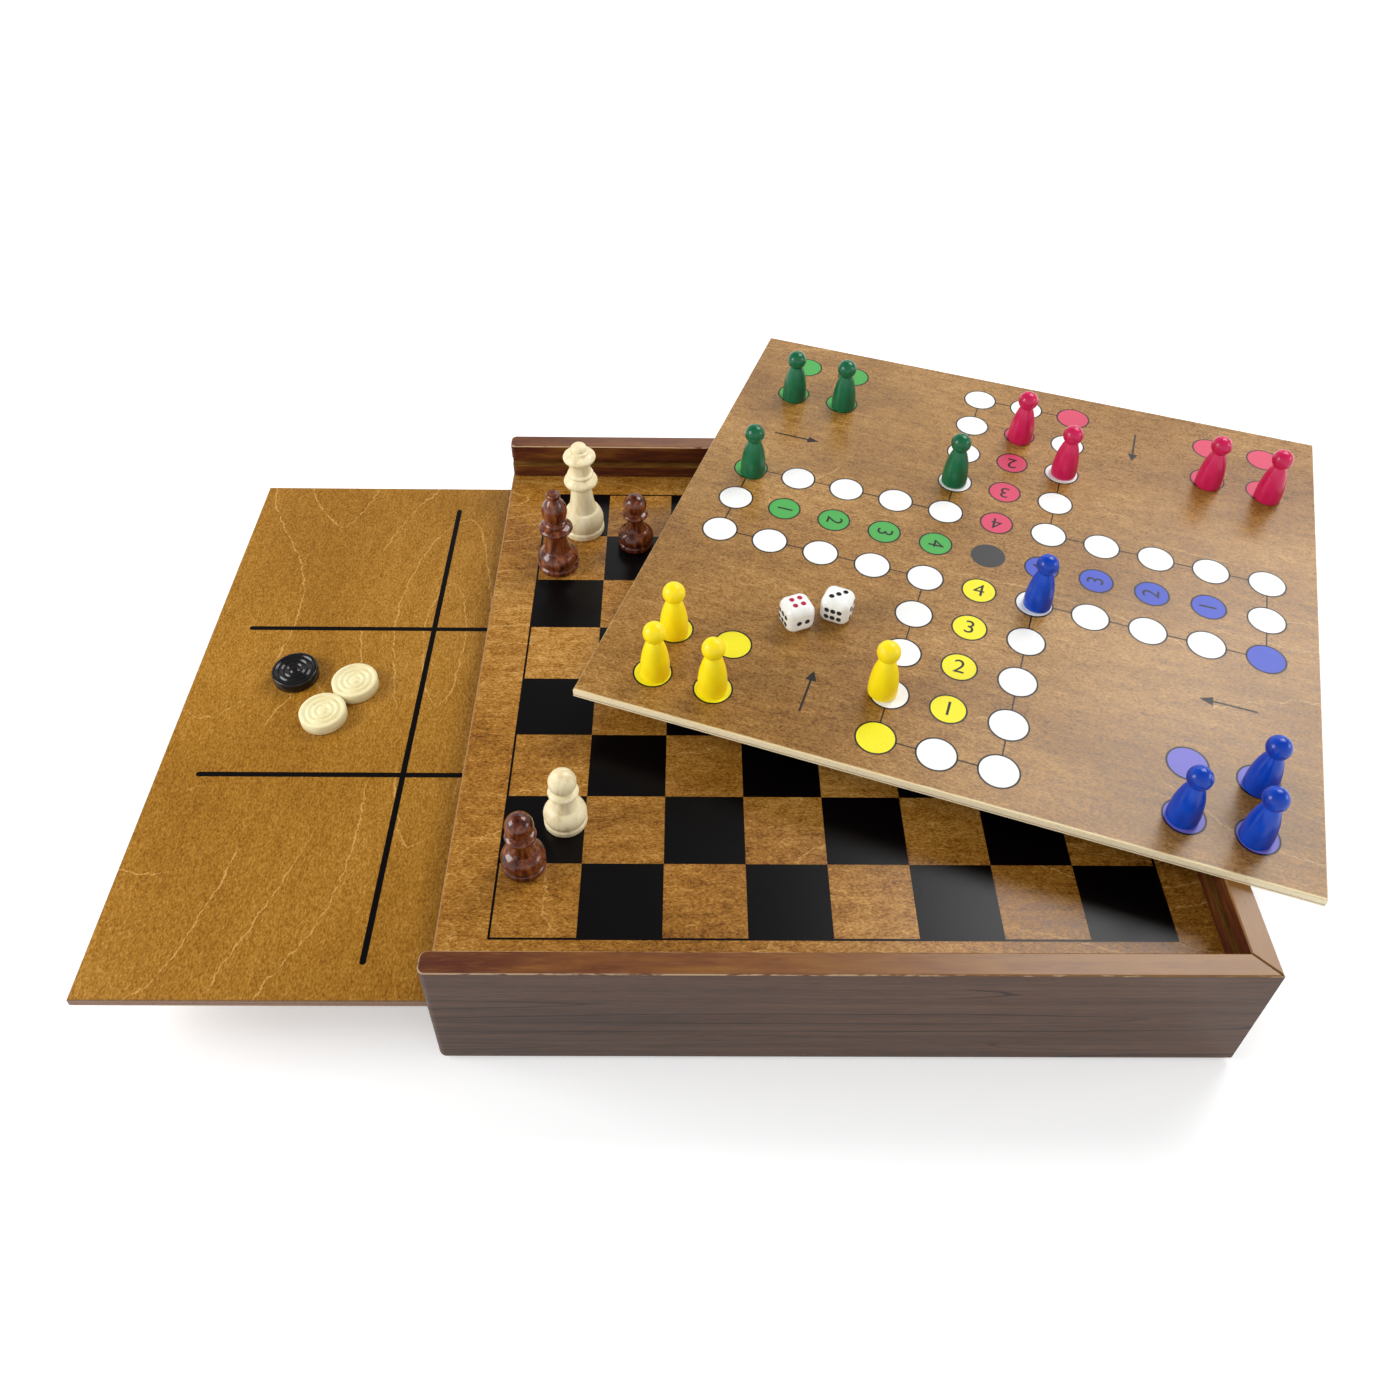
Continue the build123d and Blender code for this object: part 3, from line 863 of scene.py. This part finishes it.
# Each face's turn from the top: front, right, back and left are tipped over, then turned about Z.
FACE_TURNS = {
    "top": Euler((0, 0, 0)), "bottom": Euler((math.pi, 0, 0)), "front": Euler((math.pi / 2, 0, 0)),
    "right": Euler((math.pi / 2, 0, math.pi / 2)), "back": Euler((math.pi / 2, 0, math.pi)),
    "left": Euler((math.pi / 2, 0, -math.pi / 2)),
}


def die_mesh(name, numbers):
    """A rounded cube with dimpled pips. numbers gives the count on each face."""
    cube, dimples = bmesh.new(), bmesh.new()
    bmesh.ops.create_cube(cube, size=DIE * MM)
    # A ball whose cap, PIP_DEPTH deep, is PIP across where it meets the face. The balls have to stay
    # clear of each other.
    radius = (PIP**2 / 4 + PIP_DEPTH**2) / (2 * PIP_DEPTH)
    for face, number in numbers.items():
        for x, y in PIPS[number]:
            place = Vector((x, y, DIE / 2 - PIP_DEPTH + radius)) * MM
            turn = FACE_TURNS[face].to_matrix()
            put = Matrix.Translation(turn @ place)
            made = bmesh.ops.create_uvsphere(dimples, u_segments=28, v_segments=28, radius=radius * MM,
                                             matrix=put)
            for vertex in made["verts"]:
                for part in vertex.link_faces:
                    part.material_index = 2 if number in RED_PIPS else 1
    pieces = []
    for part, kind in ((cube, "_cube"), (dimples, "_dimples")):
        part_mesh = bpy.data.meshes.new(name + kind)
        part.to_mesh(part_mesh)
        part.free()
        for material in (DIE_WHITE, PIP_BLACK, PIP_RED):
            part_mesh.materials.append(material)
        pieces.append(placed(name + kind, part_mesh))

    body, cutter = pieces
    rounding = body.modifiers.new("rounding", "BEVEL")
    rounding.width, rounding.segments = DIE_ROUNDING * MM, 8
    carving = body.modifiers.new("pips", "BOOLEAN")
    carving.object, carving.operation, carving.solver = cutter, "DIFFERENCE", "EXACT"
    mesh = finished(body, name)
    for piece in pieces:
        bpy.data.objects.remove(piece)
    for face in mesh.polygons:
        face.use_smooth = True
    mesh.set_sharp_from_angle(angle=CREASE)
    return mesh


DIE_WHITE = plastic("die_white", seen(246, 246, 242), roughness=0.2)
PIP_BLACK = plastic("pip_black", seen(6, 5, 7), roughness=0.5)
PIP_RED = plastic("pip_red", seen(200, 22, 78), roughness=0.4)
DICE = {
    "die_1": (22.0, {"top": 4, "bottom": 3, "front": 2, "back": 5, "left": 6, "right": 1}),
    "die_2": (-24.0, {"top": 3, "bottom": 4, "front": 6, "back": 1, "left": 2, "right": 5}),
}
for node, (turn, numbers) in DICE.items():
    piece = stand(node, die_mesh(node, numbers), node)
    low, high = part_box(node)
    piece.matrix_world = Matrix.Translation((low + high) / 2) @ Matrix.Rotation(math.radians(turn), 4, "Z")


# ---- Stage, light and camera --------------------------------------------------------------------

FLOOR_HALF = 6.0  # metres, as all sizes of the stage
FLOOR_GAP = 0.0001
GLOW, GLOW_MORE = 0.42, 0.4  # near the box, and what is added far off
GLOW_GROWS = (450, 1800)  # millimetres from the box, over which it is added
SKY = ((0.08, 0.85), (0.3, 0.6), (0.52, 0.42), (0.68, 0.17))  # the sine of the height, and the brightness
AT_BOX = (0, 0, 0.03)


def floor():
    """A wide white floor that looks white wherever it is seen, but keeps the box's soft shadow. Its
    glow makes up for the lamps' light, which falls off with distance."""
    mesh = bpy.data.meshes.new("floor")
    corners = [(x, y, 0) for x, y in square(0, 0, FLOOR_HALF)]
    mesh.from_pydata(corners, [], [(0, 1, 2, 3)])
    made = placed("floor", mesh)
    made.location.z = -FLOOR_GAP
    finish = Finish(bpy.data.materials.new("floor_white"))
    path = finish.node("LightPath", {}).outputs
    seen_by = finish.plus(path["Is Camera Ray"], path["Is Glossy Ray"])
    shown = finish.node("Math", {0: seen_by, 1: path["Is Transmission Ray"]}, operation="ADD",
                        use_clamp=True).outputs[0]
    finish.set(Base_Color=(0.8, 0.8, 0.8, 1), Roughness=0.9)
    away = finish.node("VectorMath", {0: finish.millimetres()}, operation="LENGTH").outputs["Value"]
    strength = finish.plus(finish.times(finish.rise(away, *GLOW_GROWS), GLOW_MORE), GLOW)
    glow = finish.node("Emission", {"Color": (1, 1, 1, 1), "Strength": strength}).outputs[0]
    lit = finish.node("AddShader", {0: finish.shader.outputs[0], 1: glow}).outputs[0]
    blend = finish.node("MixShader", {0: shown, 1: finish.shader.outputs[0], 2: lit}).outputs[0]
    finish.feed(finish.nodes["Material Output"].inputs[0], blend)
    mesh.materials.append(finish.owner)


def lamp(name, place, size, brightness, facing=None):
    """A soft box at a place in metres, of a brightness at which 1 is white. It faces straight down, or
    the point it is given."""
    light = bpy.data.lights.new(name, "AREA")
    light.shape, light.size, light.size_y = "RECTANGLE", *size
    light.energy = brightness * math.pi * size[0] * size[1]
    made = placed(name, light)
    made.location = place
    if facing is not None:
        made.rotation_euler = (Vector(place) - Vector(facing)).to_track_quat("Z", "Y").to_euler()


def world():
    """A pale studio: white round the horizon, dim overhead, and lighter towards the front."""
    finish = Finish(bpy.data.worlds.new("studio"))
    x, y, z = finish.parts(finish.place.outputs["Generated"])
    height = finish.ramp(z, *((place, (grey, grey, grey, 1)) for place, grey in SKY))
    front = finish.times(finish.rise(y, 0.1, -0.9), 0.4)
    left = finish.times(finish.rise(x, -0.3, -0.7), 0.12)
    strength = finish.plus(height, finish.plus(front, left))
    finish.feed(finish.nodes["Background"].inputs["Strength"], strength)
    finish.feed(finish.nodes["Background"].inputs["Color"], (1, 1, 1, 1))
    bpy.context.scene.world = finish.owner


def camera():
    data = bpy.data.cameras.new("camera")
    data.sensor_width = SENSOR
    data.lens = FOCAL_PIXELS * SENSOR / PHOTO_SIDE
    data.shift_x = (PHOTO_SIDE / 2 - AXIS_PIXEL[0]) / PHOTO_SIDE
    data.shift_y = (AXIS_PIXEL[1] - PHOTO_SIDE / 2) / PHOTO_SIDE
    made = placed("camera", data)
    made.location = Vector(CAMERA_PLACE) * MM
    made.rotation_euler = Euler([math.radians(a) for a in CAMERA_TURN])
    bpy.context.scene.camera = made


floor()
world()
lamp("key", (0.635, 0.56, 1.05), (0.73, 0.52), 8.0)
lamp("key_far", (0.86, 1.00, 1.05), (0.52, 0.36), 8.5)
lamp("backdrop", (0.25, 1.75, 1.28), (1.10, 0.50), 2.0, facing=(0, 0, 0))
lamp("left_window", (-0.75, -0.10, 0.42), (0.38, 0.38), 8.5, facing=AT_BOX)
lamp("right_window", (0.95, -0.15, 0.42), (0.40, 0.30), 4.5, facing=AT_BOX)
camera()
bpy.context.scene.view_settings.view_transform = "Standard"
